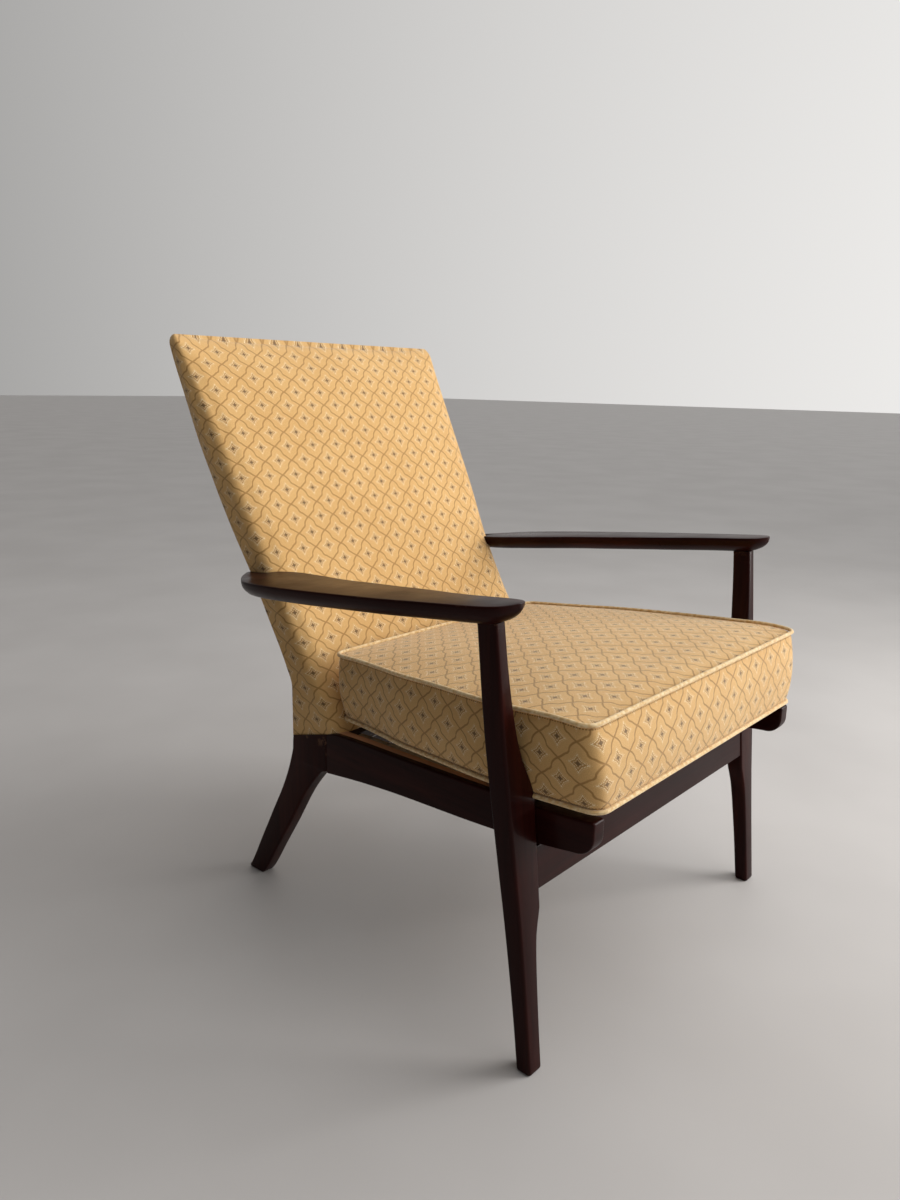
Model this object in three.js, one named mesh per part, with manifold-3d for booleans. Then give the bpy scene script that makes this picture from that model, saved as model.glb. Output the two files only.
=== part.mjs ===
// Wooden armchair: two show-wood side frames joined by cross rails, a seat of tension
// springs, a fixed upholstered back and a loose box cushion of foam in a sewn cover.
// Millimetres, +Z up, the sitter faces -Y, +X is the sitter's left.
// Depths are counted from the front feet, and the whole chair is centred at the end.
import * as THREE from 'three';
import { mergeVertices } from 'three/addons/utils/BufferGeometryUtils.js';
import Module from 'manifold-3d';

const wasm = await Module();
wasm.setup();

// Driving dimensions
const GAP = 0.3; // between pieces that touch
const MID_DEPTH = 342.75; // from the front feet back to the middle of the chair

const LEG_INNER = 274.5; // half the distance between the front legs, at the rails
const LEG_LEAN = 0.109; // depth gained per millimetre of height
const LEG_TOP = 551;
const FOOT_ROUND = 2;

const RAIL_THICK = 22;
const RAIL_FRONT_Y = -50;
const RAIL_REAR_Y = 422;
const RAIL_BEND_Y = 62; // behind the front legs the side rails start to converge
const RAIL_REAR_HALF = 255; // outer face of a side rail at its rear end

const FRONT_RAIL = { bottom: 223, shoulder: 276.5, top: 318, thick: 22, setBack: 2 };
const REAR_RAIL = { y: 388, bottom: 240, top: 300 };

const BACK_LEG_THICK = 24;
const BACK_LEG_TOE_IN = 5; // the foot stands this much nearer the middle than the head
const BACK_LEG_HEAD_LOW = 240;
const BACK_LEG_TOP = 300;

const ARM_TOP_AT_FEET = 579; // height of the arm's top plane carried forward to the front feet
const ARM_SLOPE = 0.105;
const ARM_THICK = 23;
const ARM_CLEARANCE = 0.4; // between an arm and the upholstery that it runs past

const LEDGE = { width: 22, height: 24, drop: 8, front: 51 };
const STRIP = { width: 14, thick: 1.6, short: 1 };
const SEAT_SPRINGS = { count: 9, first: 58, pitch: 38, radius: 5, tail: 16 };
const BACK_SPRINGS = { count: 6, first: 425, pitch: 66, radius: 4, tail: 12 };
const WIRE_RADIUS = 1.2;
const HOOK_TAPER = 4; // length over which a coil narrows to its wire tail

const BACK_LOW = 250; // below the cut that seats the back on its legs
const BACK_TOP = 868;
const BACK_CROWN = 8; // the padded face stands this far in front of its side edges
const UNDER_BACK = { y: 402, z: 303.5, slope: 0.29 }; // seat of the back on the legs
const COVER_THICK = 2;
const PANEL_THICK = 3;
const STILE = { width: 26, top: 832 };
const BACK_RAILS = {
  top: { low: 786, high: STILE.top, depth: 30, dowels: [798, 820] },
  bottom: { low: 322, high: 372, depth: 24, dowels: [335, 359] },
};

const CUSHION = { front: -54, seam: 341.5, slope: 0.056, corner: 16, cover: 2 };

const TENON = 12; // length and thickness of the stub tenons
const ROOT = 6; // how far a tenon or dowel runs back inside its own piece
const DOWEL_RADIUS = 4;

// Materials
const finish = (color, roughness, metalness = 0) => (
  () => new THREE.MeshStandardMaterial({ color, roughness, metalness })
);
const showWood = finish(0x2a120e, 0.3);
const beech = finish(0xc79f70, 0.6);
const damask = finish(0xdcb060, 0.85);
const padding = finish(0xe7e0cd, 0.95);
const foam = finish(0xe9dcae, 0.95);
const steel = finish(0x8b8d90, 0.35, 0.9);

const chair = new THREE.Group();
chair.position.y = -MID_DEPTH;

function add(name, geometry, material) {
  const mesh = new THREE.Mesh(geometry, material());
  mesh.name = name;
  chair.add(mesh);
}

// Straight-line reading of an edge that is given as [place, value] pairs
function along(edge, place) {
  const last = edge.length - 1;
  if (place <= edge[0][0]) return edge[0][1];
  if (place >= edge[last][0]) return edge[last][1];
  const next = edge.findIndex((pair) => pair[0] > place);
  const [p0, v0] = edge[next - 1];
  const [p1, v1] = edge[next];
  return v0 + ((v1 - v0) * (place - p0)) / (p1 - p0);
}

// Closed body through rings of equal length, each ring turning the same way
function loft(rings) {
  const count = rings[0].length;
  const points = rings.flat();
  const faces = [];
  for (let i = 0; i < rings.length - 1; i += 1) {
    for (let j = 0; j < count; j += 1) {
      const a = i * count + j;
      const b = i * count + ((j + 1) % count);
      faces.push(a, b, b + count, a, b + count, a + count);
    }
  }
  const sum = (ring) => ring.reduce((total, p) => total.add(p), new THREE.Vector3());
  const lastRing = (rings.length - 1) * count;
  points.push(sum(rings[0]).divideScalar(count), sum(rings[rings.length - 1]).divideScalar(count));
  for (let j = 0; j < count; j += 1) {
    const next = (j + 1) % count;
    faces.push(points.length - 2, next, j, points.length - 1, lastRing + j, lastRing + next);
  }
  const geometry = new THREE.BufferGeometry().setFromPoints(points);
  geometry.setIndex(faces);
  return facingOut(geometry);
}

function facingOut(geometry) {
  const place = geometry.getAttribute('position');
  const index = geometry.getIndex().array;
  const corner = (k) => new THREE.Vector3().fromBufferAttribute(place, index[k]);
  let volume = 0;
  for (let k = 0; k < index.length; k += 3) {
    volume += corner(k).dot(corner(k + 1).cross(corner(k + 2)));
  }
  if (volume < 0) geometry.setIndex(Array.from(index).reverse());
  return geometry;
}

// Rectangle a0..a1 by b0..b1 as [a, b] pairs, with one corner radius on the b0 side and one on the b1 side
function roundedBox(a0, a1, b0, b1, lowRadius, highRadius, steps = 3) {
  const mostRadius = Math.min(a1 - a0, b1 - b0) / 2.02;
  const low = Math.min(lowRadius, mostRadius);
  const high = Math.min(highRadius, mostRadius);
  const corners = [
    [a1 - high, b1 - high, high], [a0 + high, b1 - high, high],
    [a0 + low, b0 + low, low], [a1 - low, b0 + low, low],
  ];
  return corners.flatMap(([a, b, r], quarter) => Array.from({ length: steps + 1 }, (_, k) => {
    const turn = ((quarter + k / steps) * Math.PI) / 2;
    return [a + r * Math.cos(turn), b + r * Math.sin(turn)];
  }));
}

const atHeight = (pairs, z) => pairs.map(([x, y]) => new THREE.Vector3(x, y, z));
const atDepth = (pairs, y) => pairs.map(([x, z]) => new THREE.Vector3(x, y, z));
const under = (pairs, ceiling) => pairs.map(([x, y]) => new THREE.Vector3(x, y, ceiling(y) - GAP));

function block(x0, x1, y0, y1, z0, z1) {
  const geometry = new THREE.BoxGeometry(x1 - x0, y1 - y0, z1 - z0);
  geometry.translate((x0 + x1) / 2, (y0 + y1) / 2, (z0 + z1) / 2);
  return geometry;
}

// Round bar lying along X
function pin(x0, x1, y, z, radius) {
  const geometry = new THREE.CylinderGeometry(radius, radius, x1 - x0, 12);
  geometry.rotateZ(Math.PI / 2);
  geometry.translate((x0 + x1) / 2, y, z);
  return geometry;
}

function solid(geometry) {
  const bare = geometry.clone();
  bare.deleteAttribute('normal');
  bare.deleteAttribute('uv');
  const merged = mergeVertices(bare, 1e-4);
  return new wasm.Manifold(new wasm.Mesh({
    numProp: 3,
    vertProperties: new Float32Array(merged.getAttribute('position').array),
    triVerts: new Uint32Array(merged.getIndex().array),
  }));
}

function geometryOf(body) {
  const mesh = body.getMesh();
  const geometry = new THREE.BufferGeometry();
  geometry.setAttribute('position', new THREE.BufferAttribute(new Float32Array(mesh.vertProperties), 3));
  geometry.setIndex(Array.from(mesh.triVerts));
  return geometry;
}

function join(first, ...more) {
  return geometryOf(more.reduce((sum, one) => sum.add(solid(one)), solid(first)));
}

function cut(first, ...tools) {
  return geometryOf(tools.reduce((left, tool) => left.subtract(solid(tool)), solid(first)));
}

function mirrored(geometry, side) {
  if (side > 0) return geometry;
  const copy = geometry.clone();
  copy.scale(-1, 1, 1);
  if (copy.getIndex()) copy.setIndex(Array.from(copy.getIndex().array).reverse());
  return copy;
}

// Side rail: runs inside the front leg, with a rounded nose well in front of it
const RAIL_UPPER = [[-50, 330], [-19, 327.5], [118, 321], [263, 312.5], [400, 304], [422, 297.5]];
const RAIL_LOWER = [[-28, 285.5], [19, 280], [95, 272.5], [249, 259.5], [330, 250], [422, 236]];
const NOSE = { radius: 22, taper: 3, taperEnd: 19, faceRound: 2.5 };
const RAIL_EDGE_ROUND = 3;
const RAIL_TENON = { low: 250, high: 284 };

function railOuter(y) {
  const besideLeg = LEG_INNER - GAP;
  return along([
    [RAIL_FRONT_Y, besideLeg - NOSE.taper], [NOSE.taperEnd, besideLeg],
    [RAIL_BEND_Y, besideLeg], [RAIL_REAR_Y, RAIL_REAR_HALF],
  ], y);
}

const railInner = (y) => railOuter(y) - RAIL_THICK;

function railBottom(y) {
  const into = Math.max(0, RAIL_FRONT_Y + NOSE.radius - y);
  return along(RAIL_LOWER, y) + NOSE.radius - Math.sqrt(NOSE.radius ** 2 - into ** 2);
}

function railTenon(clearance) {
  const mid = RAIL_REAR_HALF - RAIL_THICK / 2;
  const half = TENON / 2 + clearance;
  return block(
    mid - half, mid + half, RAIL_REAR_Y - ROOT, RAIL_REAR_Y + TENON + clearance,
    RAIL_TENON.low - clearance, RAIL_TENON.high + clearance,
  );
}

function sideRail() {
  const nose = [-50, -49.2, -47, -43, -38, -28].map((y) => [y, y === RAIL_FRONT_Y ? NOSE.faceRound : 0]);
  const run = [NOSE.taperEnd, RAIL_BEND_Y, 118, 180, 249, 330, 400, RAIL_REAR_Y - GAP].map((y) => [y, 0]);
  return join(loft([...nose, ...run].map(([y, inset]) => atDepth(roundedBox(
    railInner(y) + inset, railOuter(y) - inset,
    railBottom(y) + inset, along(RAIL_UPPER, y) - inset, RAIL_EDGE_ROUND, RAIL_EDGE_ROUND,
  ), y))), railTenon(0));
}

// Front leg: slim at the arm, widest at the rails, tapering to the foot
const LEG_OUTER_EDGE = [[0, 313], [100, 314], [180, 315.8], [266, 320], [362, 324.7], [466, 328], [551, 330]];
const LEG_INNER_EDGE = [
  [0, 288], [62, 287.5], [128, 286], [166, 283.5], [188, 278.5], [204, LEG_INNER], [340, LEG_INNER],
  [384, 291.5], [420, 301], [461, 306.6], [507, 310], [551, 311.5],
];
const LEG_DEPTH = [[0, 21], [65, 22], [140, 24], [210, 26], [305, 28], [430, 30], [551, 28]];
const LEG_FRONT_AT_FLOOR = -8;
const LEG_ROUND = 4;
const STUB = { x: 321, y: 66, radius: 6 };

const legFront = (z) => LEG_LEAN * z + LEG_FRONT_AT_FLOOR;
const armUnderside = (y) => ARM_TOP_AT_FEET - ARM_SLOPE * y - ARM_THICK;

function legSection(z, inset) {
  const front = legFront(z);
  return roundedBox(
    along(LEG_INNER_EDGE, z) + inset, along(LEG_OUTER_EDGE, z) - inset,
    front + inset, front + along(LEG_DEPTH, z) - inset, LEG_ROUND, LEG_ROUND,
  );
}

function armStub(clearance) {
  const height = TENON + ROOT + clearance;
  const stub = new THREE.CylinderGeometry(STUB.radius + clearance, STUB.radius + clearance, height, 16);
  stub.rotateX(Math.PI / 2);
  stub.translate(STUB.x, STUB.y, armUnderside(STUB.y) - ROOT + height / 2);
  return stub;
}

function frontLeg() {
  const stations = [FOOT_ROUND, 62, 128, 166, 188, 204, 266, 340, 362, 384, 420, 461, 507];
  const rings = [atHeight(legSection(0, FOOT_ROUND), 0)];
  stations.forEach((z) => rings.push(atHeight(legSection(z, 0), z)));
  rings.push(under(legSection(LEG_TOP, 0), armUnderside));
  return join(loft(rings), armStub(0));
}

// Front rail: a deep board tenoned between the front legs, narrowed above to pass between the side rails
const FRONT_TENON = { low: 236, high: 264 };

function frontRailSlab(half, bottom, top, front, rear) {
  return loft([bottom, top].map((z) => atHeight(
    roundedBox(-half, half, legFront(z) + front, legFront(z) + rear, 1.5, 1.5, 1), z,
  )));
}

function frontTenon(clearance) {
  const mid = FRONT_RAIL.setBack + FRONT_RAIL.thick / 2;
  const half = TENON / 2 + clearance;
  const reach = LEG_INNER + TENON + clearance;
  const { low, high } = FRONT_TENON;
  return frontRailSlab(reach, low - clearance, high + clearance, mid - half, mid + half);
}

function frontRail() {
  const { bottom, shoulder, top, setBack, thick } = FRONT_RAIL;
  const wide = frontRailSlab(LEG_INNER - GAP, bottom, shoulder, setBack, setBack + thick);
  const narrow = frontRailSlab(railInner(0) - GAP, shoulder - ROOT, top, setBack, setBack + thick);
  return join(wide, narrow, frontTenon(0));
}

// Back leg: raked foot below, upright head behind the side rail, carrying the back
const BACK_LEG_REAR = [
  [0, 634], [10, 627], [72, 592.5], [127, 562], [192, 526.5], [235, 509], [255, 503.5], [300, 502],
];
const BACK_LEG_FRONT = [
  [0, 597], [14, 586], [67, 552], [121, 517], [183, 478.5], [217, 452], [233, 436], [240, 422.3],
];
const underBack = (y) => UNDER_BACK.z - UNDER_BACK.slope * (y - UNDER_BACK.y);

function backLeg() {
  const outer = (z) => RAIL_REAR_HALF - BACK_LEG_TOE_IN * (1 - Math.min(1, z / BACK_LEG_HEAD_LOW));
  const section = (z, inset) => roundedBox(
    outer(z) - BACK_LEG_THICK + inset, outer(z) - inset,
    along(BACK_LEG_FRONT, z) + inset, along(BACK_LEG_REAR, z) - inset, LEG_ROUND, LEG_ROUND,
  );
  const rings = [atHeight(section(0, FOOT_ROUND), 0)];
  [FOOT_ROUND, 14, 67, 121, 183, 217, 225, 233, BACK_LEG_HEAD_LOW, 262].forEach((z) => {
    rings.push(atHeight(section(z, 0), z));
  });
  rings.push(under(section(BACK_LEG_TOP, 0), underBack));
  return cut(loft(rings), railTenon(GAP), stileTenon(GAP));
}

// Armrest: boat-shaped in plan, flat on top, undercut below, notched to run past the back's side
const ARM_OUTER = [
  [26, 322], [30, 333], [36, 343], [45, 349], [55, 352], [70, 354], [100, 355.5], [140, 357],
  [208, 360], [280, 358.5], [350, 356], [400, 352.5], [450, 347], [500, 336], [540, 312],
  [565, 292], [580, 277], [590, 266],
];
const ARM_INNER = [
  [26, 316], [30, 308], [36, 301], [45, 297], [60, 295], [112, 294], [154, 290], [183, 285],
  [248, 278], [302, 271], [357, 265], [396, 257], [435, 248], [471, 241], [500, 236],
  [520, 236], [543, 240], [590, 246],
];
const ARM_NOSE_THICK = [[26, 7], [30, 12], [36, 16.5], [45, 20.5], [55, ARM_THICK]];
const UNDERCUT = [[0, 1.5], [0.1, 0], [0.35, 1], [0.7, 7], [1, 16]]; // inset by share of thickness
const DEEPEST_UNDERCUT = 16;
const ARM_STATIONS = [
  26, 30, 36, 45, 55, 75, 112, 154, 208, 250, 302, 357, 400, 435, 471, 500, 520, 543, 565, 580, 590,
];

function armSection(y) {
  const outer = along(ARM_OUTER, y);
  const inner = along(ARM_INNER, y);
  const thick = along(ARM_NOSE_THICK, y);
  const top = ARM_TOP_AT_FEET - ARM_SLOPE * y;
  const reach = Math.min(1, (outer - inner - 2 * UNDERCUT[0][1]) / (2 * DEEPEST_UNDERCUT + 1));
  const outerSide = UNDERCUT.map(([share, inset]) => [outer - inset * reach, top - share * thick]);
  const innerSide = UNDERCUT.map(([share, inset]) => [inner + inset * reach, top - share * thick]).reverse();
  return atDepth([...outerSide, ...innerSide], y);
}

function armrest() {
  return cut(loft(ARM_STATIONS.map(armSection)), armStub(GAP), backVolume(ARM_CLEARANCE), armScrew(GAP));
}

// Upholstered back: half width, line of the front edges and line of the rear, by height
const BACK_HALF_WIDTH = [
  [250, 252.5], [360, 252.5], [420, 253.5], [480, 257], [540, 261], [625, 268], [700, 272],
  [790, 278], [868, 285],
];
const BACK_FRONT = [
  [250, 364], [303, 402], [416, 485], [522, 549], [604, 591], [715, 650], [790, 692], [868, 736],
];
const BACK_REAR = [
  [250, 503], [360, 503], [388, 516], [444, 549], [505, 582], [570, 621], [665, 671], [706, 692],
  [770, 717], [829, 738], [856, 745], [868, 748],
];
const BACK_TOP_ROUND = [[852, 0], [860, 1.5], [865, 4], [868, 8]];
const BACK_CORNER = [[300, 20], [700, 18], [790, 12], [852, 7], [865, 4], [868, 1.6]];
const BACK_REAR_CORNER = 1.5;
const EDGE_ROUND = 0.5; // broken edge on the hidden frame pieces
const PAD_DEPTH = [[600, 14], [800, 7]]; // from the edge line back to the wooden frame
const CLEAR_OF_REAR = 20; // how far a cutting body runs out behind the back
const BACK_STATIONS = [
  250, 303, 360, 388, 416, 420, 444, 480, 505, 522, 540, 570, 600, 604, 625, 665, 700, 706, 715,
  770, 790, 800, 829, 852, 856, 860, 865, 868,
];

const backHalf = (z) => along(BACK_HALF_WIDTH, z) - along(BACK_TOP_ROUND, z);
const faceAt = (z) => along(BACK_FRONT, z) - BACK_CROWN + along(BACK_TOP_ROUND, z);
const rearAt = (z) => along(BACK_REAR, z) - along(BACK_TOP_ROUND, z);
const cornerAt = (z) => along(BACK_CORNER, z);
const frameFront = (z) => along(BACK_FRONT, z) + along(PAD_DEPTH, z);
const frameRear = (z) => rearAt(z) - PANEL_THICK - GAP;
const squareEdge = () => EDGE_ROUND;

// Body between two heights whose left and right sides, front and rear are functions of height
function slab({
  low, high, left, right, front, rear, corner = squareEdge, rearCorner = EDGE_ROUND, steps = 1,
}) {
  const heights = [low, ...BACK_STATIONS.filter((z) => z > low && z < high), high];
  return loft(heights.map((z) => atHeight(
    roundedBox(left(z), right(z), front(z), rear(z), corner(z), rearCorner, steps), z,
  )));
}

// The same, as wide as the back less an inset on each side
function backSlab(inset, shape) {
  return slab({
    left: (z) => inset - backHalf(z), right: (z) => backHalf(z) - inset, steps: 3, ...shape,
  });
}

function belowBack() {
  const front = UNDER_BACK.y - 100;
  const rear = UNDER_BACK.y + 240;
  const outline = new THREE.Shape();
  outline.moveTo(front, underBack(front));
  outline.lineTo(rear, underBack(rear));
  outline.lineTo(rear, 0);
  outline.lineTo(front, 0);
  const half = RAIL_REAR_HALF + 100;
  const wedge = new THREE.ExtrudeGeometry(outline, { depth: 2 * half, bevelEnabled: false });
  wedge.applyMatrix4(new THREE.Matrix4().makeBasis(
    new THREE.Vector3(0, 1, 0), new THREE.Vector3(0, 0, 1), new THREE.Vector3(1, 0, 0),
  ));
  wedge.translate(-half, 0, 0);
  return wedge;
}

function backVolume(grow) {
  return backSlab(-grow, {
    low: BACK_LOW, high: BACK_TOP, front: (z) => faceAt(z) - grow, rear: (z) => rearAt(z) + grow,
    corner: (z) => cornerAt(z) + grow, rearCorner: BACK_REAR_CORNER,
  });
}

function backCover() {
  const inside = backSlab(COVER_THICK, {
    low: BACK_LOW - ROOT, high: BACK_TOP - COVER_THICK, front: (z) => faceAt(z) + COVER_THICK,
    rear: (z) => rearAt(z) + CLEAR_OF_REAR, corner: (z) => cornerAt(z) - COVER_THICK,
  });
  return cut(backVolume(0), inside, belowBack(), armScrew(GAP), mirrored(armScrew(GAP), -1));
}

const PAD_INSET = COVER_THICK + GAP;

function backPad() {
  const whole = backSlab(PAD_INSET, {
    low: BACK_LOW, high: BACK_TOP - PAD_INSET, front: (z) => faceAt(z) + PAD_INSET, rear: frameRear,
    corner: (z) => Math.max(EDGE_ROUND, cornerAt(z) - PAD_INSET),
  });
  const frameRoom = backSlab(-ROOT, {
    low: BACK_LOW - ROOT, high: STILE.top + GAP, front: (z) => frameFront(z) - GAP,
    rear: (z) => rearAt(z) + CLEAR_OF_REAR, steps: 1,
  });
  return cut(whole, frameRoom, belowBack());
}

function outsidePanel() {
  return cut(backSlab(PAD_INSET, {
    low: BACK_LOW, high: BACK_TOP - PAD_INSET, front: (z) => rearAt(z) - PANEL_THICK, rear: rearAt, steps: 1,
  }), belowBack());
}

// Frame inside the back: two stiles tenoned into the back legs, two rails dowelled between them
const STILE_TENON = { front: 440, rear: 476, low: 270, high: 310 };

const stileOuter = (z) => backHalf(z) - PAD_INSET;
const stileInner = (z) => stileOuter(z) - STILE.width;

function stileTenon(clearance) {
  const mid = (stileOuter(BACK_LOW) + RAIL_REAR_HALF - BACK_LEG_THICK) / 2;
  const half = TENON / 2 + clearance;
  return block(
    mid - half, mid + half, STILE_TENON.front - clearance, STILE_TENON.rear + clearance,
    STILE_TENON.low - clearance, STILE_TENON.high,
  );
}

function railDowels({ dowels, depth }, clearance) {
  return dowels.map((z) => {
    const y = (frameFront(z) + Math.min(frameRear(z), frameFront(z) + depth)) / 2;
    const reach = stileInner(z) + TENON + clearance;
    return pin(-reach, reach, y, z, DOWEL_RADIUS + clearance);
  });
}

function backStile() {
  const post = slab({
    low: BACK_LOW, high: STILE.top, left: stileInner, right: stileOuter, front: frameFront, rear: frameRear,
  });
  const holes = Object.values(BACK_RAILS).flatMap((rail) => railDowels(rail, GAP));
  return cut(join(cut(post, belowBack()), stileTenon(0)), armScrew(GAP), ...holes);
}

function backRail(rail) {
  const end = (z) => stileInner(z) - GAP;
  const rear = (z) => Math.min(frameRear(z), frameFront(z) + rail.depth);
  const board = slab({
    low: rail.low, high: rail.high, left: (z) => -end(z), right: end, front: frameFront, rear,
  });
  return join(board, ...railDowels(rail, 0));
}

// Screw along +X turned from one profile, its countersunk head at x
function screw(x, y, z, radius, length, clearance) {
  const shank = radius + clearance;
  const profile = [
    [0, -clearance], [2 * radius + clearance, -clearance], [shank, shank],
    [shank, length + clearance], [0, length + radius + clearance],
  ];
  const turned = new THREE.LatheGeometry(profile.map(([px, py]) => new THREE.Vector2(px, py)), 12);
  turned.rotateZ(-Math.PI / 2);
  turned.translate(x, y, z);
  return turned;
}

const ARM_SCREW = { y: 566, z: 508, radius: 3, length: 50 };
const RAIL_SCREW = { y: 39, radius: 2.5, length: 42, heights: { lower: 291, upper: 314 } };

function armScrew(clearance) {
  const { y, z, radius, length } = ARM_SCREW;
  return screw(stileInner(z) - GAP, y, z, radius, length, clearance);
}

function railScrew(z, clearance) {
  const { y, radius, length } = RAIL_SCREW;
  return screw(railInner(y), y, z, radius, length, clearance);
}

// Rear seat rail, tenoned between the side rails just in front of the back legs
const REAR_TENON = { low: 252, high: 280, length: 10 };

function rearTenon(clearance) {
  const mid = REAR_RAIL.y + RAIL_THICK / 2;
  const half = TENON / 2 + clearance;
  const reach = railInner(mid) + REAR_TENON.length + clearance;
  const { low, high } = REAR_TENON;
  return block(-reach, reach, mid - half, mid + half, low - clearance, high + clearance);
}

function rearSeatRail() {
  const rear = REAR_RAIL.y + RAIL_THICK;
  const half = railInner(rear) - GAP;
  return join(block(-half, half, REAR_RAIL.y, rear, REAR_RAIL.bottom, REAR_RAIL.top), rearTenon(0));
}

// Unstained ledge inside each side rail, with the punched steel strip that takes the spring hooks
const LEDGE_STATIONS = [LEDGE.front, RAIL_BEND_Y, 118, 263, REAR_RAIL.y - GAP];
const ledgeOuter = (y) => railInner(y) - GAP;
const ledgeTop = (y) => along(RAIL_UPPER, y) - LEDGE.drop;
const stripMid = (y) => ledgeOuter(y) - LEDGE.width / 2;

function springLedge() {
  return loft(LEDGE_STATIONS.map((y) => atDepth(
    roundedBox(
      ledgeOuter(y) - LEDGE.width, ledgeOuter(y), ledgeTop(y) - LEDGE.height, ledgeTop(y), 1, 1, 1,
    ), y,
  )));
}

function springStrip() {
  const half = STRIP.width / 2;
  const ends = [LEDGE.front + STRIP.short, ...LEDGE_STATIONS.slice(1, -1), REAR_RAIL.y - GAP - STRIP.short];
  return loft(ends.map((y) => {
    const low = ledgeTop(y) + GAP;
    const mid = stripMid(y);
    return atDepth(roundedBox(mid - half, mid + half, low, low + STRIP.thick, 0.2, 0.2, 1), y);
  }));
}

// Close-coiled tension spring along X: a coil with a straight wire tail at each end
function tensionSpring(half, { tail, radius }, y, z) {
  const coil = half - tail;
  const profile = [
    [0, -half], [WIRE_RADIUS, -half], [WIRE_RADIUS, -coil], [radius, HOOK_TAPER - coil],
    [radius, coil - HOOK_TAPER], [WIRE_RADIUS, coil], [WIRE_RADIUS, half], [0, half],
  ];
  const turned = new THREE.LatheGeometry(profile.map(([px, py]) => new THREE.Vector2(px, py)), 10);
  turned.rotateZ(-Math.PI / 2);
  turned.translate(0, y, z);
  return turned;
}

const seatSpringAxis = (y) => ledgeTop(y) + STRIP.thick + 2 * GAP + WIRE_RADIUS;

function seatSpring(index) {
  const y = SEAT_SPRINGS.first + index * SEAT_SPRINGS.pitch;
  return tensionSpring(stripMid(y), SEAT_SPRINGS, y, seatSpringAxis(y));
}

function backSpring(index) {
  const z = BACK_SPRINGS.first + index * BACK_SPRINGS.pitch;
  return tensionSpring(stileInner(z) - GAP, BACK_SPRINGS, (frameFront(z) + frameRear(z)) / 2, z);
}

// Loose box cushion: tapered plan, full borders, crowned above, sagging on to the springs below
const CUSHION_HALF_WIDTH = [[-60, 275], [0, 280], [100, 278], [185, 269], [265, 260], [366, 243], [424, 236]];
const CUSHION_ON_SPRINGS = { inset: 62, front: 10, rear: 340 };
const CUSHION_LAYERS = [ // height above the lower seam, inset at the sides, front and rear edges
  { rise: 4, inset: 13, front: -45, rear: 398 },
  { rise: 12, inset: 3, front: -53, rear: 408 },
  { rise: 30, inset: -2, front: -58, rear: 421 },
  { rise: 50, inset: -3, front: -59, rear: 426 },
  { rise: 92, inset: 0, front: -54, rear: 426 },
  { rise: 101, inset: 6, front: -47, rear: 420 },
  { rise: 107, inset: 45, front: -8, rear: 385 },
  { rise: 112, inset: 110, front: 60, rear: 320 },
];
// Shares of the cushion's depth
const CUSHION_STATIONS = [0, 0.006, 0.03, 0.13, 0.35, 0.52, 0.68, 0.85, 0.97, 0.994, 1];
const ZIP = { half: 190, rise: 44, slot: 3 };

const cushionSeam = (y) => CUSHION.seam - CUSHION.slope * (y - CUSHION.front);

function cushionRing({ inset, front, rear }, heightAt, within) {
  const from = front + within;
  const to = rear - within;
  const half = (y) => {
    const intoCorner = CUSHION.corner - Math.min(y - from, to - y, CUSHION.corner);
    const round = CUSHION.corner - Math.sqrt(CUSHION.corner ** 2 - intoCorner ** 2);
    return along(CUSHION_HALF_WIDTH, y) - inset - within - round;
  };
  const depths = CUSHION_STATIONS.map((share) => from + share * (to - from));
  const rightSide = depths.map((y) => new THREE.Vector3(half(y), y, heightAt(y)));
  const leftSide = depths.map((y) => new THREE.Vector3(-half(y), y, heightAt(y))).reverse();
  return [...rightSide, ...leftSide];
}

function cushionBody(within) {
  const springTop = (y) => seatSpringAxis(y) + SEAT_SPRINGS.radius + 1;
  const middle = CUSHION_LAYERS[3].rise;
  const rings = [cushionRing(CUSHION_ON_SPRINGS, (y) => springTop(y) + within, within)];
  CUSHION_LAYERS.forEach((layer) => {
    const level = layer.rise + (layer.rise > middle ? -within : within);
    rings.push(cushionRing(layer, (y) => cushionSeam(y) + level, within));
  });
  return loft(rings);
}

function cushionCover() {
  const y = CUSHION_LAYERS[3].rear;
  const zip = cushionSeam(y) + ZIP.rise;
  const opening = block(-ZIP.half, ZIP.half, y - CLEAR_OF_REAR, y + CLEAR_OF_REAR, zip, zip + ZIP.slot);
  return cut(cushionBody(0), cushionBody(CUSHION.cover), opening);
}

// Assembly
for (const [label, side] of [['left', 1], ['right', -1]]) {
  const railHoles = Object.values(RAIL_SCREW.heights).map((z) => railScrew(z, GAP));
  const put = (name, geometry, material) => add(`${label}_${name}`, mirrored(geometry, side), material);
  put('front_leg', cut(frontLeg(), frontTenon(GAP), ...railHoles), showWood);
  put('side_rail', cut(sideRail(), rearTenon(GAP), ...railHoles), showWood);
  put('back_leg', backLeg(), showWood);
  put('armrest', armrest(), showWood);
  put('spring_ledge', springLedge(), beech);
  put('spring_strip', springStrip(), steel);
  put('back_stile', backStile(), beech);
  put('arm_screw', armScrew(0), steel);
  Object.entries(RAIL_SCREW.heights).forEach(([place, z]) => {
    put(`rail_screw_${place}`, railScrew(z, 0), steel);
  });
}
add('front_rail', frontRail(), showWood);
add('rear_seat_rail', rearSeatRail(), beech);
Object.entries(BACK_RAILS).forEach(([place, rail]) => add(`back_${place}_rail`, backRail(rail), beech));
for (let index = 0; index < SEAT_SPRINGS.count; index += 1) {
  add(`seat_spring_${index + 1}`, seatSpring(index), steel);
}
for (let index = 0; index < BACK_SPRINGS.count; index += 1) {
  add(`back_spring_${index + 1}`, backSpring(index), steel);
}
add('back_padding', backPad(), padding);
add('back_cover', backCover(), damask);
add('outside_back_panel', outsidePanel(), damask);
add('cushion_foam', cushionBody(CUSHION.cover + GAP), foam);
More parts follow.
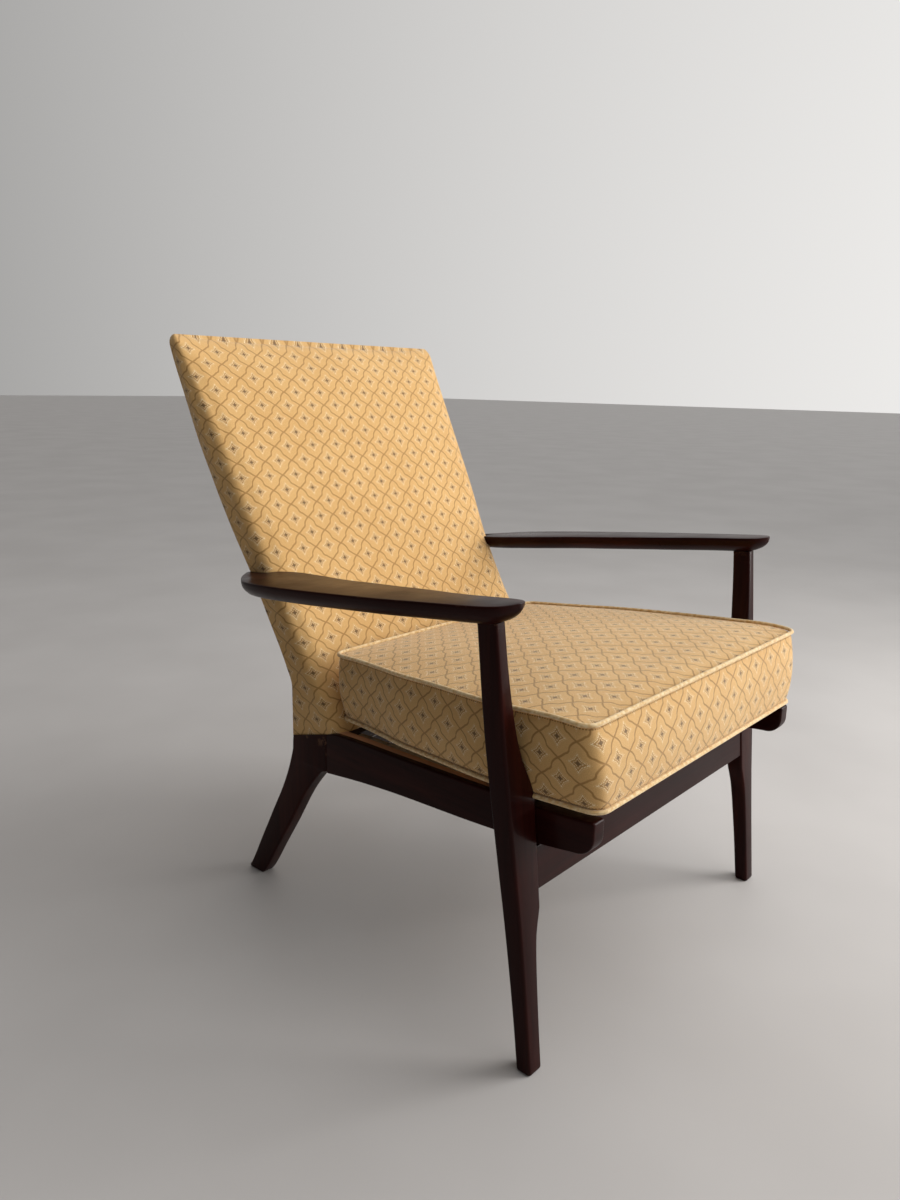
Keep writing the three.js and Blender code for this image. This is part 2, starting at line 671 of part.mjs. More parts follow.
add('cushion_cover', cushionCover(), damask);

export default chair;
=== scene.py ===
import math

import bpy
import numpy as np
from mathutils import Euler, Matrix, Vector


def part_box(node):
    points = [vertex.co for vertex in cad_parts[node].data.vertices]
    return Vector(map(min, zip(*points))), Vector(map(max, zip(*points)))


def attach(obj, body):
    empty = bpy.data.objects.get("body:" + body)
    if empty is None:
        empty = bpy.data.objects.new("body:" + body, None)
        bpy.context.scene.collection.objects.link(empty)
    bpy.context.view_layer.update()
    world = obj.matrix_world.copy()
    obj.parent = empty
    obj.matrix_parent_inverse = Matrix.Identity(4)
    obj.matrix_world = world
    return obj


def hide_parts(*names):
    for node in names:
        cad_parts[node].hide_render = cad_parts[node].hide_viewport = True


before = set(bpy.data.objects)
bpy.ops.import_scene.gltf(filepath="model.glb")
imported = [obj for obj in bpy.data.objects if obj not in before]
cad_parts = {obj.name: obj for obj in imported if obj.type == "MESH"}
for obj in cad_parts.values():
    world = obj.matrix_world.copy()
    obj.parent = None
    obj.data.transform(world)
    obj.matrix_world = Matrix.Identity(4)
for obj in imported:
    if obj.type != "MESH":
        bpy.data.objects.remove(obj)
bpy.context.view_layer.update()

# ---------------------------------------------------------------------------
# Studio: camera 0.8 m up, in front and to the sitter's right, a plain pale
# floor and soft light, brightest from the sitter's left front as from a window.
# ---------------------------------------------------------------------------
bpy.context.scene.view_settings.view_transform = "Standard"
MM = 0.001
FEET_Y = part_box("left_side_rail")[0].y + 50 * MM  # depths below are counted from the front feet


def studio_camera(place, yaw, pitch, roll, lens):
    data = bpy.data.cameras.new("camera")
    data.lens = lens
    data.sensor_width = 36
    camera = bpy.data.objects.new("camera", data)
    turn = Euler((math.pi / 2 - math.radians(pitch), 0, -math.radians(yaw))).to_matrix()
    roll_about_view = Matrix.Rotation(math.radians(roll), 3, "Z")
    camera.matrix_world = Matrix.Translation(place) @ (turn @ roll_about_view).to_4x4()
    bpy.context.scene.collection.objects.link(camera)
    bpy.context.scene.camera = camera


def soft_light(name, place, aim, size, power, colour):
    data = bpy.data.lights.new(name, "AREA")
    data.shape = "RECTANGLE"
    data.size, data.size_y = size
    data.energy = power
    data.color = colour
    lamp = bpy.data.objects.new(name, data)
    lamp.location = place
    lamp.rotation_euler = (Vector(aim) - Vector(place)).to_track_quat("-Z", "Y").to_euler()
    bpy.context.scene.collection.objects.link(lamp)


studio_camera((-1.0637, FEET_Y - 0.5337, 0.800), yaw=48.38, pitch=13.42, roll=1.125, lens=27.04)
soft_light("window", (1.9, -2.0, 1.0), (0, 0, 0.42), (1.3, 1.4), 57, (1.0, 0.985, 0.955))
soft_light("sky", (0.5, -0.8, 2.6), (0, 0, 0.3), (2.4, 2.4), 24, (1.0, 0.99, 0.97))
day = bpy.data.lights.new("daylight", "SUN")
day.energy = 0.50
day.angle = math.radians(40)
daylight = bpy.data.objects.new("daylight", day)
daylight.rotation_euler = Vector((-0.72, 0.50, -0.42)).to_track_quat("-Z", "Y").to_euler()
bpy.context.scene.collection.objects.link(daylight)


def new_tree(name):
    material = bpy.data.materials.new(name)
    material.use_nodes = True
    tree = material.node_tree
    tree.nodes.clear()
    shader = tree.nodes.new("ShaderNodeBsdfPrincipled")
    output = tree.nodes.new("ShaderNodeOutputMaterial")
    tree.links.new(shader.outputs[0], output.inputs["Surface"])
    return material, tree, shader


def join_up(tree, value, socket):
    if hasattr(value, "is_output"):
        tree.links.new(value, socket)
    else:
        socket.default_value = value


def maths(tree, operation, *values):
    node = tree.nodes.new("ShaderNodeMath")
    node.operation = operation
    for socket, value in zip(node.inputs, values):
        join_up(tree, value, socket)
    return node.outputs[0]


def noise(tree, where, scale, detail=3.0, rough=0.5):
    node = tree.nodes.new("ShaderNodeTexNoise")
    join_up(tree, where, node.inputs["Vector"])
    node.inputs["Scale"].default_value = scale
    node.inputs["Detail"].default_value = detail
    node.inputs["Roughness"].default_value = rough
    return node.outputs["Fac"]


def ramp(tree, value, stops, kind="LINEAR"):
    node = tree.nodes.new("ShaderNodeValToRGB")
    node.color_ramp.interpolation = kind
    elements = node.color_ramp.elements
    elements.remove(elements[1])
    elements[0].position = stops[0][0]
    for place, _ in stops[1:]:
        elements.new(place)
    for element, (_, colour) in zip(elements, stops):
        element.color = (*colour, 1) if hasattr(colour, "__len__") else (colour, colour, colour, 1)
    join_up(tree, value, node.inputs["Fac"])
    return node.outputs["Color"]


def spread(tree, value, low, high, to_low, to_high, kind="LINEAR"):
    node = tree.nodes.new("ShaderNodeMapRange")
    node.interpolation_type = kind
    for socket, one in zip(node.inputs, (value, low, high, to_low, to_high)):
        join_up(tree, one, socket)
    return node.outputs[0]


def mix(tree, share, first, second):
    node = tree.nodes.new("ShaderNodeMix")
    node.data_type = "RGBA"
    join_up(tree, share, node.inputs["Factor"])
    for socket, colour in ((node.inputs["A"], first), (node.inputs["B"], second)):
        join_up(tree, colour if hasattr(colour, "is_output") else (*colour, 1), socket)
    return node.outputs["Result"]


def bump(tree, shader, height, distance, strength=1.0, under=None):
    node = tree.nodes.new("ShaderNodeBump")
    node.inputs["Strength"].default_value = strength
    node.inputs["Distance"].default_value = distance
    join_up(tree, height, node.inputs["Height"])
    if under is not None:
        tree.links.new(under, node.inputs["Normal"])
    tree.links.new(node.outputs[0], shader.inputs["Normal"])
    return node.outputs[0]


def stretched(tree, scale, source="Object"):
    coordinates = tree.nodes.new("ShaderNodeTexCoord")
    mapping = tree.nodes.new("ShaderNodeMapping")
    mapping.inputs["Scale"].default_value = scale
    tree.links.new(coordinates.outputs[source], mapping.inputs["Vector"])
    return mapping.outputs[0]


def studio_floor():
    material, tree, shader = new_tree("pale_floor")
    where = stretched(tree, (1, 1, 1))
    shade = spread(tree, noise(tree, where, 2.2), 0.35, 0.65, 0.0, 1.0)
    tree.links.new(mix(tree, shade, (0.50, 0.48, 0.47), (0.54, 0.52, 0.51)), shader.inputs["Base Color"])
    shader.inputs["Roughness"].default_value = 0.55
    mesh = bpy.data.meshes.new("studio_floor")
    reach = 40.0
    corners = [(-reach, -reach, 0), (reach, -reach, 0), (reach, reach, 0), (-reach, reach, 0)]
    mesh.from_pydata(corners, [], [(0, 1, 2, 3)])
    floor = bpy.data.objects.new("studio_floor", mesh)
    floor.data.materials.append(material)
    bpy.context.scene.collection.objects.link(floor)


studio_floor()
world = bpy.data.worlds.new("studio")
bpy.context.scene.world = world
world.use_nodes = True
room_glow = world.node_tree.nodes["Background"]
room_glow.inputs["Color"].default_value = (1.0, 0.985, 0.965, 1)
facing = stretched(world.node_tree, (1, 1, 1), "Generated")
toward_window = world.node_tree.nodes.new("ShaderNodeVectorMath")
toward_window.operation = "DOT_PRODUCT"
toward_window.inputs[1].default_value = (0.90, -0.42, 0.0)
world.node_tree.links.new(facing, toward_window.inputs[0])
glow = spread(world.node_tree, toward_window.outputs["Value"], -0.60, 0.95, 0.085, 0.95)
world.node_tree.links.new(glow, room_glow.inputs["Strength"])

# ---------------------------------------------------------------------------
# Show wood: beech or mahogany stained a very dark red-brown and lacquered to
# a semi-gloss. The grain shows only as faint streaks, and the arrises are worn
# pale in small chips where hands and the cushion rub them.
# ---------------------------------------------------------------------------


# Painted light on the side rails' tops: where the pale strip starts behind the front feet, its inner edge and
# its taper.
LIT_STRIP_START = 62
LIT_STRIP_EDGE = 0.2672
LIT_STRIP_TAPER = -0.0533


def painted_light_on_rail_top(tree, geometry):
    """Pale strip on the inner part of a side rail's top: painted light, standing in for light that reaches
    the rail tops under the cushion.
    """
    place_on_rail = tree.nodes.new("ShaderNodeSeparateXYZ")
    tree.links.new(stretched(tree, (1, 1, 1)), place_on_rail.inputs[0])
    facing = tree.nodes.new("ShaderNodeSeparateXYZ")
    tree.links.new(geometry.outputs["Normal"], facing.inputs[0])
    behind_legs = maths(tree, "SUBTRACT", place_on_rail.outputs[1], FEET_Y + LIT_STRIP_START * MM)
    lit_strip_edge = maths(tree, "MULTIPLY_ADD", behind_legs, LIT_STRIP_TAPER, LIT_STRIP_EDGE)
    inside = maths(tree, "SUBTRACT", lit_strip_edge, maths(tree, "ABSOLUTE", place_on_rail.outputs[0]))
    strip = spread(tree, inside, -0.0008, 0.0008, 0.0, 1.0)
    upward = spread(tree, facing.outputs[2], 0.5, 0.8, 0.0, 1.0)
    hidden_part = spread(tree, behind_legs, 0.03, 0.06, 0.0, 1.0)
    return maths(tree, "MULTIPLY", maths(tree, "MULTIPLY", strip, upward), hidden_part)


def show_wood(name, along, painted_light_strip=False):
    material, tree, shader = new_tree(name)
    fine = [150.0, 150.0, 150.0]
    broad = [34.0, 34.0, 34.0]
    fine[along], broad[along] = 5.0, 2.2
    streaks = noise(tree, stretched(tree, fine), 1.0, 4.0, 0.6)
    figure = noise(tree, stretched(tree, broad), 1.0, 3.0)
    stain = ramp(tree, figure, [
        (0.25, (0.0110, 0.0016, 0.0012)),
        (0.55, (0.0220, 0.0032, 0.0022)),
        (0.85, (0.046, 0.0078, 0.0042)),
    ])
    grained = mix(tree, spread(tree, streaks, 0.45, 0.75, 0.0, 0.55), stain, (0.006, 0.0012, 0.001))
    geometry = tree.nodes.new("ShaderNodeNewGeometry")
    edge = spread(tree, geometry.outputs["Pointiness"], 0.53, 0.62, 0.0, 1.0)
    patches = spread(tree, noise(tree, stretched(tree, (60, 60, 60)), 1.0, 5.0, 0.7), 0.56, 0.66, 0.0, 1.0)
    worn = maths(tree, "MULTIPLY", edge, patches)
    surface = mix(tree, worn, grained, (0.30, 0.16, 0.085))
    if painted_light_strip:
        # Painted light: a pale strip on the upward faces of the rail top, behind the legs.
        surface = mix(tree, painted_light_on_rail_top(tree, geometry), surface, (0.52, 0.27, 0.15))
    tree.links.new(surface, shader.inputs["Base Color"])
    smear = noise(tree, stretched(tree, (9, 9, 9)), 1.0, 4.0, 0.6)
    tree.links.new(spread(tree, smear, 0.3, 0.7, 0.26, 0.42), shader.inputs["Roughness"])
    shader.inputs["Specular IOR Level"].default_value = 0.05
    shader.inputs["Coat Weight"].default_value = 0.08
    shader.inputs["Coat Roughness"].default_value = 0.14
    bump(tree, shader, streaks, 0.00012)
    return material


WOOD_UPRIGHT = show_wood("stained_wood_upright", 2)
WOOD_LENGTHWISE = show_wood("stained_wood_lengthwise", 1)
WOOD_CROSSWISE = show_wood("stained_wood_crosswise", 0)
# The side rails' wood carries a pale strip of painted light on its top.
WOOD_RAIL = show_wood("stained_wood_side_rail", 1, painted_light_strip=True)


def through(points):
    """Smooth reading of an edge given as (place, value) pairs, with no overshoot between them."""
    xs = np.array([p[0] for p in points], float)
    ys = np.array([p[1] for p in points], float)
    slopes = np.diff(ys) / np.diff(xs)
    tangents = np.zeros(len(xs))
    tangents[0], tangents[-1] = slopes[0], slopes[-1]
    for i in range(1, len(xs) - 1):
        if slopes[i - 1] * slopes[i] > 0:
            tangents[i] = 2 * slopes[i - 1] * slopes[i] / (slopes[i - 1] + slopes[i])

    def read(place):
        i = int(np.clip(np.searchsorted(xs, place) - 1, 0, len(xs) - 2))
        span = xs[i + 1] - xs[i]
        t = min(1.0, max(0.0, (place - xs[i]) / span))
        blend = t * t * (3 - 2 * t)
        return (ys[i] * (1 - blend) + ys[i + 1] * blend
                + span * t * (1 - t) * ((1 - t) * tangents[i] - t * tangents[i + 1]))
    return read


def rounded_box(a0, a1, b0, b1, radius, steps=5):
    low_a, high_a = a0 + radius, a1 - radius
    low_b, high_b = b0 + radius, b1 - radius
    corners = ((high_a, high_b), (low_a, high_b), (low_a, low_b), (high_a, low_b))
    points = []
    for quarter, (a, b) in enumerate(corners):
        for k in range(steps + 1):
            turn = (quarter + k / steps) * math.pi / 2
            points.append((a + radius * math.cos(turn), b + radius * math.sin(turn)))
    return points


def place(x, y, z):
    """A point given in millimetres from the front feet, in the frame's metres."""
    return Vector((x * MM, y * MM + FEET_Y, z * MM))


def object_from(name, points, faces, material, sharp=40, uv=None):
    mesh = bpy.data.meshes.new(name)
    mesh.from_pydata([tuple(p) for p in points], [], faces)
    mesh.update()
    mesh.materials.append(material)
    if uv is not None:
        layer = mesh.uv_layers.new(name="cloth")
        for loop in mesh.loops:
            layer.data[loop.index].uv = uv[loop.index]
    mesh.shade_smooth()
    mesh.set_sharp_from_angle(angle=math.radians(sharp))
    piece = bpy.data.objects.new(name, mesh)
    bpy.context.scene.collection.objects.link(piece)
    return piece


def face_outward(piece):
    volume = sum(p.center.dot(p.normal) * p.area for p in piece.data.polygons)
    if volume < 0:
        piece.data.flip_normals()


def lofted(name, rings, material, side=1, sharp=40):
    """Closed piece through rings of equal length; side -1 mirrors it to the sitter's right."""
    count = len(rings[0])
    points = [p for ring in rings for p in ring]
    faces = []
    for i in range(len(rings) - 1):
        for j in range(count):
            a, b = i * count + j, i * count + (j + 1) % count
            faces.append((a, b, b + count, a + count))
    faces.append(tuple(reversed(range(count))))
    faces.append(tuple(range(len(points) - count, len(points))))
    if side < 0:
        points = [Vector((-p.x, p.y, p.z)) for p in points]
        faces = [tuple(reversed(face)) for face in faces]
    piece = object_from(name, points, faces, material, sharp)
    face_outward(piece)
    return piece


def fixed(piece, slot, *nodes):
    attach(piece, "frame")
    if nodes:
        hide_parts(*nodes)
    return piece


SIDES = (("left", 1), ("right", -1))

# ---------------------------------------------------------------------------
# Front legs: one piece from floor to arm, slim above, swelling to a shoulder
# where the rails join, then tapering to a small square foot. Spindle-shaped
# on a band saw, sanded to soft arrises, and stub-tenoned into the armrest.
# ---------------------------------------------------------------------------
LEG_ROUND = 4
LEG_LEAN = 0.109
LEG_TOP = 551
ARM_TOP = 579
ARM_FALL = 0.105
ARM_THICK = 23
leg_outer = through([(0, 313), (100, 314), (180, 315.8), (266, 320), (362, 324.7), (466, 328), (551, 330)])
leg_inner = through([
    (0, 288), (62, 287.5), (128, 286), (166, 283.5), (188, 278.5), (204, 274.6), (340, 274.6),
    (362, 282), (384, 291.5), (420, 301), (461, 306.6), (507, 310), (551, 311.5),
])
leg_depth = through([(0, 21), (65, 22), (140, 24), (210, 26), (305, 28), (430, 30), (551, 28)])


def leg_front(z):
    return LEG_LEAN * z - 8


def arm_underside(y):
    return ARM_TOP - ARM_FALL * y - ARM_THICK


def leg_ring(z, inset=0.0):
    front = leg_front(z)
    rear = front + leg_depth(z)
    return rounded_box(leg_inner(z) + inset, leg_outer(z) - inset, front + inset, rear - inset, LEG_ROUND)


def front_leg(label, side):
    heights = [0.6, 1.3, 2.2, 3.2, *np.linspace(8, 542, 70)]
    insets = [1.4, 0.7, 0.25] + [0.0] * (len(heights) - 3)
    rings = [[place(x, y, 0) for x, y in leg_ring(0, 2.2)]]
    rings += [[place(x, y, z) for x, y in leg_ring(z, inset)] for z, inset in zip(heights, insets)]
    rings.append([place(x, y, arm_underside(y) - 0.3) for x, y in leg_ring(LEG_TOP)])
    piece = lofted(f"{label}_front_leg_turned", rings, WOOD_UPRIGHT, side)
    fixed(piece, "show_wood", f"{label}_front_leg")


for label, side in SIDES:
    front_leg(label, side)

# ---------------------------------------------------------------------------
# Side rails: deep boards inside the front legs that fall towards the back,
# each ending in front of the leg in a nose with a rounded lower corner.
# They are screwed to the legs and tenoned into the back legs.
# ---------------------------------------------------------------------------
RAIL_THICK = 22
RAIL_ROUND = 2.6
NOSE_RADIUS = 22
NOSE_TOP_RADIUS = 4
RAIL_FRONT = -50
rail_upper = through([(-50, 330), (-19, 327.5), (118, 321), (263, 312.5), (400, 304), (422, 297.5)])
rail_lower = through([(-50, 287), (-28, 285.5), (19, 280), (95, 272.5), (249, 259.5), (330, 250), (422, 236)])
rail_outer = through([(-50, 271.2), (19, 274.2), (62, 274.2), (422, 255)])


def rounded_end(y, radius):
    into = min(radius, max(0.0, RAIL_FRONT + radius - y))
    return radius - math.sqrt(radius * radius - into * into)


def side_rail(label, side):
    nose = [RAIL_FRONT + NOSE_RADIUS * (1 - math.cos(turn)) for turn in np.linspace(0.0, math.pi / 2, 16)]
    rings = []
    for y in [*nose, *np.linspace(-22, 421.7, 60)]:
        face = rounded_end(y, 2.5)
        inner, outer = rail_outer(y) - RAIL_THICK + face, rail_outer(y) - face
        bottom = rail_lower(y) + rounded_end(y, NOSE_RADIUS)
        top = rail_upper(y) - rounded_end(y, NOSE_TOP_RADIUS)
        rings.append([place(x, y, z) for x, z in rounded_box(inner, outer, bottom, top, RAIL_ROUND)])
    fixed(lofted(f"{label}_side_rail_board", rings, WOOD_RAIL, side), "show_wood", f"{label}_side_rail")


for label, side in SIDES:
    side_rail(label, side)

# ---------------------------------------------------------------------------
# Front rail: a stained board between the front legs, leaning as they do and
# tenoned into them, with its upper half cut shorter to clear the side rails.
# ---------------------------------------------------------------------------
FRONT_RAIL_THICK = 22
FRONT_RAIL_SET_BACK = 2


def front_rail():
    between_legs, between_rails = 274.5, 250.8
    low, shoulder, high = 223, 276.4, 318
    ends = [between_rails + 0.05, between_legs - 1, between_legs]
    stations = [-x for x in reversed(ends)] + list(np.linspace(-between_rails, between_rails, 90)) + ends
    rings = []
    for x in stations:
        top = high if abs(x) <= between_rails else shoulder
        section = rounded_box(0, FRONT_RAIL_THICK, low, top, 1.6)
        rings.append([place(x, leg_front(z) + FRONT_RAIL_SET_BACK + depth, z) for depth, z in section])
    fixed(lofted("front_rail_board", rings, WOOD_CROSSWISE), "show_wood", "front_rail")


front_rail()

# ---------------------------------------------------------------------------
# Back legs: short boards whose foot rakes far out behind the seat, with an
# upright head that takes the side rail in front and carries the back above.
# ---------------------------------------------------------------------------
BACK_LEG_THICK = 24
BACK_LEG_HEAD = 300
UNDER_BACK_FRONT = 402
UNDER_BACK_LEVEL = 303.5
UNDER_BACK_SLOPE = 0.29
back_leg_rear = through([
    (0, 634), (10, 627), (72, 592.5), (127, 562), (192, 526.5), (235, 509), (255, 503.5), (300, 502),
])
back_leg_front = through([
    (0, 597), (14, 586), (67, 552), (121, 517), (183, 478.5), (217, 452), (233, 436), (240, 422.4),
    (300, 422.4),
])


def under_back(y):
    return UNDER_BACK_LEVEL - UNDER_BACK_SLOPE * (y - UNDER_BACK_FRONT)


def back_leg(label, side):
    def ring(z, inset=0.0):
        outer = 255 - 5 * (1 - min(1, z / 240))
        inner = outer - BACK_LEG_THICK
        return rounded_box(
            inner + inset, outer - inset, back_leg_front(z) + inset, back_leg_rear(z) - inset, LEG_ROUND)

    foot = ((0.6, 1.4), (1.3, 0.7), (2.2, 0.25))
    heights = [*np.linspace(3.2, 228, 50), *np.linspace(231, 241, 8), 252, 266]
    rings = [[place(x, y, 0) for x, y in ring(0, 2.2)]]
    rings += [[place(x, y, z) for x, y in ring(z, inset)] for z, inset in foot]
    rings += [[place(x, y, z) for x, y in ring(z)] for z in heights]
    rings.append([place(x, y, under_back(y) - 0.3) for x, y in ring(BACK_LEG_HEAD)])
    fixed(lofted(f"{label}_back_leg_board", rings, WOOD_UPRIGHT, side), "show_wood", f"{label}_back_leg")


for label, side in SIDES:
    back_leg(label, side)

# ---------------------------------------------------------------------------
# Upholstered back: a sprung frame padded with wadding, with one piece of
# damask pulled over the face, top and both sides and tacked at the rear.
# A fabric-covered board closes the rear and is slip-stitched round its edge.
# ---------------------------------------------------------------------------
BACK_TOP = 868
BACK_BOTTOM = 303
CROWN = 5.5
EDGE_FORWARD = 4.5
EAR_DIP = 8.5
TOP_EDGE_ROWS = [852, 855, 857.5, 860, 862, 864, 865.5, 866.7, 867.5, 868]
back_half = through([
    (250, 252.5), (360, 252.5), (420, 253.5), (480, 257), (540, 261), (625, 268), (700, 272), (790, 278),
    (868, 285),
])
back_edge = through([
    (250, 364), (303, 402), (416, 485), (522, 549), (604, 591), (715, 650), (790, 692), (868, 736),
])
back_rear = through([
    (250, 503), (360, 503), (388, 516), (444, 549), (505, 582), (570, 621), (665, 671), (706, 692),
    (770, 717), (829, 738), (856, 745), (868, 748),
])
back_corner = through([(250, 18), (500, 18), (700, 16), (790, 12), (852, 8), (865, 5), (868, 3)])
top_round = through([
    (250, 0), (852, 0), (857, 0.7), (861, 1.9), (864, 3.4), (866, 4.9), (867.3, 6.4), (868, 8),
])


def face_length(z, steps=200):
    heights = np.linspace(BACK_BOTTOM, z, steps)
    depths = np.array([back_edge(h) for h in heights])
    return float(np.hypot(np.diff(heights), np.diff(depths)).sum())


def back_ring(z, grow=0.0, front_steps=64, side_steps=10):
    """Open outline round the back at one height, from one rear edge over the face to the other."""
    shrink = top_round(z)
    half = back_half(z) - shrink + grow
    edge = back_edge(z) - EDGE_FORWARD + shrink - grow
    rear = back_rear(z) - shrink + grow
    radius = min(back_corner(z), (rear - edge) / 2.1)
    outline = []
    for k in range(side_steps):
        t = k / side_steps
        outline.append((half, rear + (edge + radius - rear) * t))
    for k in range(7):
        turn = k / 6 * math.pi / 2
        outline.append((half - radius + radius * math.cos(turn), edge + radius - radius * math.sin(turn)))
    for k in range(1, front_steps):
        outline.append((half - radius - 2 * (half - radius) * k / front_steps, edge))
    for k in range(7):
        turn = (6 - k) / 6 * math.pi / 2
        outline.append((-(half - radius + radius * math.cos(turn)), edge + radius - radius * math.sin(turn)))
    for k in range(1, side_steps + 1):
        t = k / side_steps
        outline.append((-half, edge + radius + (rear - edge - radius) * t))
    return outline, half, edge


def crowned(x, y, z, half, edge):
    across = min(1.0, abs(x) / half)
    level = min(1.0, max(0.0, (z - 290) / 120)) * (1 - 0.35 * max(0.0, (z - 790) / 78))
    push = CROWN * (1 - across ** 2.4) * level * max(0.0, 1 - (y - edge) / 9)
    return y - push


def sunk(x, z, half):
    """The top edge dips in the middle and leaves its corners standing as soft ears."""
    near_top = max(0.0, (z - 560) / (BACK_TOP - 560))
    return z - EAR_DIP * near_top ** 3 * (1 - (min(1.0, abs(x) / half)) ** 5)


def back_cover_mesh():
    rows = [BACK_BOTTOM + (BACK_TOP - BACK_BOTTOM) * t for t in np.linspace(0, 1, 84)]
    rows = [z for z in rows if z < TOP_EDGE_ROWS[0]] + TOP_EDGE_ROWS
    points, uvs = [], []
    for z in rows:
        outline, half, edge = back_ring(z)
        v = face_length(z) * MM
        walked = 0.0
        lengths = [0.0]
        for (x0, y0), (x1, y1) in zip(outline, outline[1:]):
            walked += math.hypot(x1 - x0, y1 - y0)
            lengths.append(walked)
        middle = walked / 2
        share = 1 - (z - BACK_BOTTOM) / (BACK_TOP - BACK_BOTTOM)
        for (x, y), length in zip(outline, lengths):
            low = z - UNDER_BACK_SLOPE * max(0.0, y - edge) * share ** 6
            points.append(place(x, crowned(x, y, z, half, edge), sunk(x, low, half)))
            uvs.append(((middle - length) * MM, v))
    count = len(uvs) // len(rows)
    faces = []
    for i in range(len(rows) - 1):
        for j in range(count - 1):
            a = i * count + j
            faces.append((a, a + 1, a + 1 + count, a + count))
    corner_uv = [uvs[v] for face in faces for v in face]
    top = list(range((len(rows) - 1) * count, len(rows) * count))
    front_of_top = min(points[v].y for v in top)
    for j in range(count // 2):
        face = tuple(dict.fromkeys((top[j], top[j + 1], top[count - 2 - j], top[count - 1 - j])))
        faces.append(face)
        corner_uv += [(points[v].x, uvs[top[0]][1] + points[v].y - front_of_top) for v in face]
    held_top = (len(rows) - 9) * count
    tacked = [i for i in range(len(points)) if i < count or i >= held_top or i % count in (0, count - 1)]
    return points, faces, corner_uv, tacked


DAMASK_WIDE = 0.0505
DAMASK_TALL = 0.0488
GOLD_DEEP = (0.57, 0.325, 0.108)
GOLD_PALE = (0.76, 0.462, 0.178)
CREAM = (1.0, 0.86, 0.56)
STITCH_LOW = 0.0036
STITCH_HIGH = 0.0985
STITCH_PITCH = 0.0036
BORDER_UV_START = 2.0


